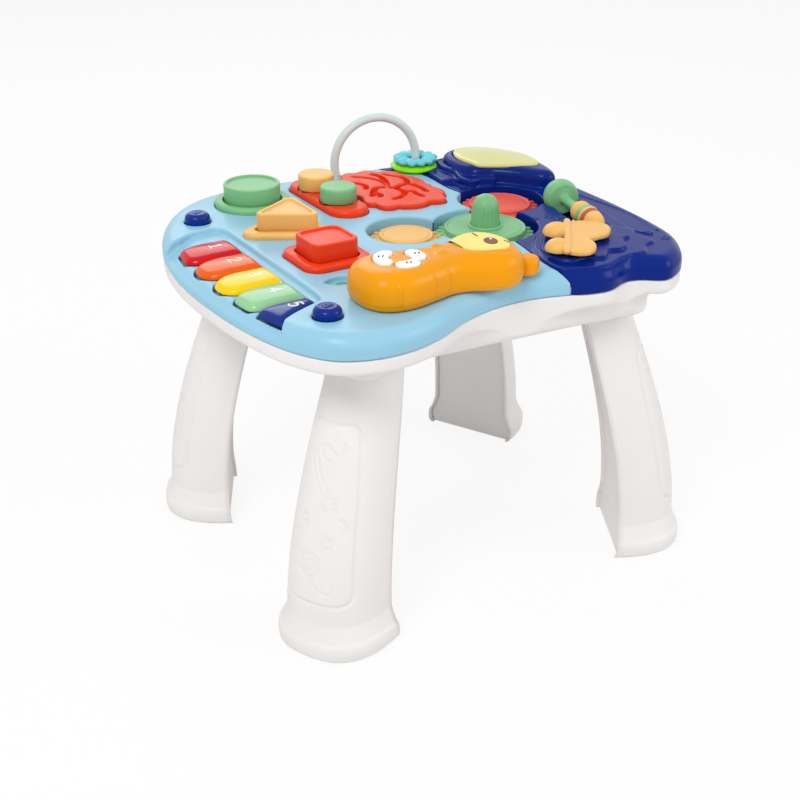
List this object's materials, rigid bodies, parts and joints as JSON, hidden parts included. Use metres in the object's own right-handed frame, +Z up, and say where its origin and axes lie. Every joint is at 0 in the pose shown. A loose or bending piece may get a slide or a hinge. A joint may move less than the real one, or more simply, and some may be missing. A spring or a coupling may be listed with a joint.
{
  "type": "baby activity table",
  "caption": "Toy activity table: blue play deck with meshing gears, piano keys, lift-out shape blocks, arch with rings and a toy handset, on splayed legs.",
  "frame": {"origin": "on the floor, under the middle of the bounding box of the standing table", "axes": "+X along the long side towards the dark-blue end, +Y towards the arch at the back, +Z up"},
  "size_m": [0.4252, 0.3812, 0.3562],
  "materials": {
    "white": "warm white, fine satin moulding",
    "pale_blue": "light blue, softly shiny",
    "navy": "dark blue, shiny",
    "amber": "orange-yellow, softly shiny",
    "sage": "soft green, satin",
    "honey": "warm yellow, satin",
    "coral": "coral red, satin",
    "tomato": "orange-red, satin",
    "cream": "cream, satin",
    "key_red": "deep red, high gloss",
    "key_orange": "orange, high gloss",
    "key_yellow": "yellow, high gloss",
    "key_green": "mint green, high gloss",
    "key_blue": "deep blue, high gloss",
    "lens": "pale yellow, high gloss",
    "teal": "teal, high gloss",
    "lime": "lime green, shiny",
    "aqua": "light turquoise, shiny",
    "ice": "very pale green-blue tube, satin",
    "steel": "bright steel",
    "board": "green circuit board",
    "rubber": "soft grey",
    "black": "black",
    "box": "off-white moulding",
    "cell": "plain grey cells"
  },
  "bodies": {
    "table": {"tray": "white", "panel_pale": "pale_blue", "panel_navy": "navy", "leg_front_left": "white", "leg_front_right": "white", "leg_back_left": "white", "leg_back_right": "white", "leg_plate_front_left": "white", "leg_plate_front_right": "white", "leg_plate_back_left": "white", "leg_plate_back_right": "white", "gear_floor": "navy", "key_rod": "steel", "contact_domes": "rubber", "socket_round": "sage", "socket_triangle": "honey", "socket_square": "tomato", "disc_base": "tomato", "tree_plate": "tomato", "lens": "lens", "eye_lens": "teal", "roller_rod": "steel", "butterfly_pin": "steel", "arch": "ice", "circuit_board": "board", "speaker": "black", "battery_box": "box", "batteries": "cell", "battery_door": "white", "screws": "steel"},
    "gear_green": {"gear_green": "sage", "gear_knob": "sage"},
    "gear_yellow": {"gear_yellow": "honey"},
    "gear_red": {"gear_red": "coral"},
    "key_red": {"key_red": "key_red"},
    "key_orange": {"key_orange": "key_orange"},
    "key_yellow": {"key_yellow": "key_yellow"},
    "key_green": {"key_green": "key_green"},
    "key_blue": {"key_blue": "key_blue"},
    "button_front": {"button_front": "key_blue"},
    "button_back": {"button_back": "key_blue"},
    "block_round": {"block_round": "sage"},
    "block_triangle": {"block_triangle": "honey"},
    "block_square": {"block_square": "tomato"},
    "disc_yellow": {"disc_yellow": "honey"},
    "disc_green": {"disc_green": "sage"},
    "roller_ball": {"roller_ball": "sage"},
    "roller_bead": {"roller_bead": "honey"},
    "roller_taper": {"roller_taper": "sage"},
    "butterfly": {"butterfly": "honey"},
    "ring_lime": {"ring_lime": "lime"},
    "ring_aqua": {"ring_aqua": "aqua"},
    "handset": {"phone_top": "amber", "phone_bottom": "amber", "phone_face": "cream", "phone_board": "board"},
    "petal_left": {"petal_left": "cream"},
    "petal_right": {"petal_right": "cream"},
    "petal_front": {"petal_front": "cream"}
  },
  "joints": [
    {"name": "gear_green_spin", "type": "hinge", "parent": "table", "child": "gear_green", "pos_m": [0.06293, -0.02494, 0.286], "axis": [0, 0, 1], "continuous": true},
    {"name": "gear_yellow_spin", "type": "hinge", "parent": "table", "child": "gear_yellow", "pos_m": [-0.00496, -0.00023, 0.286], "axis": [0, 0, 1], "continuous": true},
    {"name": "gear_red_spin", "type": "hinge", "parent": "table", "child": "gear_red", "pos_m": [0.11663, 0.0299, 0.286], "axis": [0, 0, 1], "continuous": true},
    {"name": "key_red_press", "type": "hinge", "parent": "table", "child": "key_red", "pos_m": [-0.15257, 0.04816, 0.2904], "axis": [0, -1, 0], "range_deg": [0, 4], "stiffness_Nm_per_rad": 1.2, "springref_deg": -1.72},
    {"name": "key_orange_press", "type": "hinge", "parent": "table", "child": "key_orange", "pos_m": [-0.15257, 0.00936, 0.2904], "axis": [0, -1, 0], "range_deg": [0, 4], "stiffness_Nm_per_rad": 1.2, "springref_deg": -1.72},
    {"name": "key_yellow_press", "type": "hinge", "parent": "table", "child": "key_yellow", "pos_m": [-0.15257, -0.02944, 0.2904], "axis": [0, -1, 0], "range_deg": [0, 4], "stiffness_Nm_per_rad": 1.2, "springref_deg": -1.72},
    {"name": "key_green_press", "type": "hinge", "parent": "table", "child": "key_green", "pos_m": [-0.15257, -0.06824, 0.2904], "axis": [0, -1, 0], "range_deg": [0, 4], "stiffness_Nm_per_rad": 1.2, "springref_deg": -1.72},
    {"name": "key_blue_press", "type": "hinge", "parent": "table", "child": "key_blue", "pos_m": [-0.15257, -0.10704, 0.2904], "axis": [0, -1, 0], "range_deg": [0, 4], "stiffness_Nm_per_rad": 1.2, "springref_deg": -1.72},
    {"name": "button_front_press", "type": "slide", "parent": "table", "child": "button_front", "axis": [0, 0, -1], "range_m": [0, 0.0025], "stiffness_N_per_m": 400, "springref_m": -0.0015},
    {"name": "button_back_press", "type": "slide", "parent": "table", "child": "button_back", "axis": [0, 0, -1], "range_m": [0, 0.0025], "stiffness_N_per_m": 400, "springref_m": -0.0015},
    {"name": "block_round_lift", "type": "slide", "parent": "table", "child": "block_round", "axis": [0, 0, 1], "range_m": [0, 0.06]},
    {"name": "block_triangle_lift", "type": "slide", "parent": "table", "child": "block_triangle", "axis": [0, 0, 1], "range_m": [0, 0.06]},
    {"name": "block_square_lift", "type": "slide", "parent": "table", "child": "block_square", "axis": [0, 0, 1], "range_m": [0, 0.06]},
    {"name": "disc_yellow_press", "type": "slide", "parent": "table", "child": "disc_yellow", "axis": [0, 0, -1], "range_m": [0, 0.0025], "stiffness_N_per_m": 400, "springref_m": -0.0015},
    {"name": "disc_green_press", "type": "slide", "parent": "table", "child": "disc_green", "axis": [0, 0, -1], "range_m": [0, 0.0025], "stiffness_N_per_m": 400, "springref_m": -0.0015},
    {"name": "roller_ball_spin", "type": "hinge", "parent": "table", "child": "roller_ball", "pos_m": [0.16193, -0.00494, 0.3], "axis": [-0.2334, -0.9724, 0], "continuous": true},
    {"name": "roller_bead_spin", "type": "hinge", "parent": "table", "child": "roller_bead", "pos_m": [0.16193, -0.00494, 0.3], "axis": [-0.2334, -0.9724, 0], "continuous": true},
    {"name": "roller_taper_spin", "type": "hinge", "parent": "table", "child": "roller_taper", "pos_m": [0.16193, -0.00494, 0.3], "axis": [-0.2334, -0.9724, 0], "continuous": true},
    {"name": "butterfly_rock", "type": "hinge", "parent": "table", "child": "butterfly", "pos_m": [0.09893, -0.10894, 0.3058], "axis": [0.5736, 0.8192, 0], "range_deg": [-4, 4], "stiffness_Nm_per_rad": 0.15},
    {"name": "ring_lime_slide", "type": "hinge", "parent": "table", "child": "ring_lime", "pos_m": [0.05593, 0.16006, 0.309], "axis": [-0.1564, -0.9877, 0], "range_deg": [0, 55]},
    {"name": "ring_aqua_slide", "type": "hinge", "parent": "ring_lime", "child": "ring_aqua", "pos_m": [0.05593, 0.16006, 0.309], "axis": [-0.1564, -0.9877, 0], "range_deg": [0, 95]},
    {"name": "handset_lift", "type": "slide", "parent": "table", "child": "handset", "axis": [0, 0, 1], "range_m": [0, 0.12]},
    {"name": "petal_right_press", "type": "slide", "parent": "handset", "child": "petal_right", "axis": [0, 0, -1], "range_m": [0, 0.0015], "stiffness_N_per_m": 400, "springref_m": -0.001},
    {"name": "petal_left_press", "type": "slide", "parent": "handset", "child": "petal_left", "axis": [0, 0, -1], "range_m": [0, 0.0015], "stiffness_N_per_m": 400, "springref_m": -0.001},
    {"name": "petal_front_press", "type": "slide", "parent": "handset", "child": "petal_front", "axis": [0, 0, -1], "range_m": [0, 0.0015], "stiffness_N_per_m": 400, "springref_m": -0.001}
  ],
  "couplings": [
    {"joint": "gear_yellow_spin", "follows": "gear_green_spin", "ratio": -1.4},
    {"joint": "gear_red_spin", "follows": "gear_green_spin", "ratio": -1.2174}
  ]
}
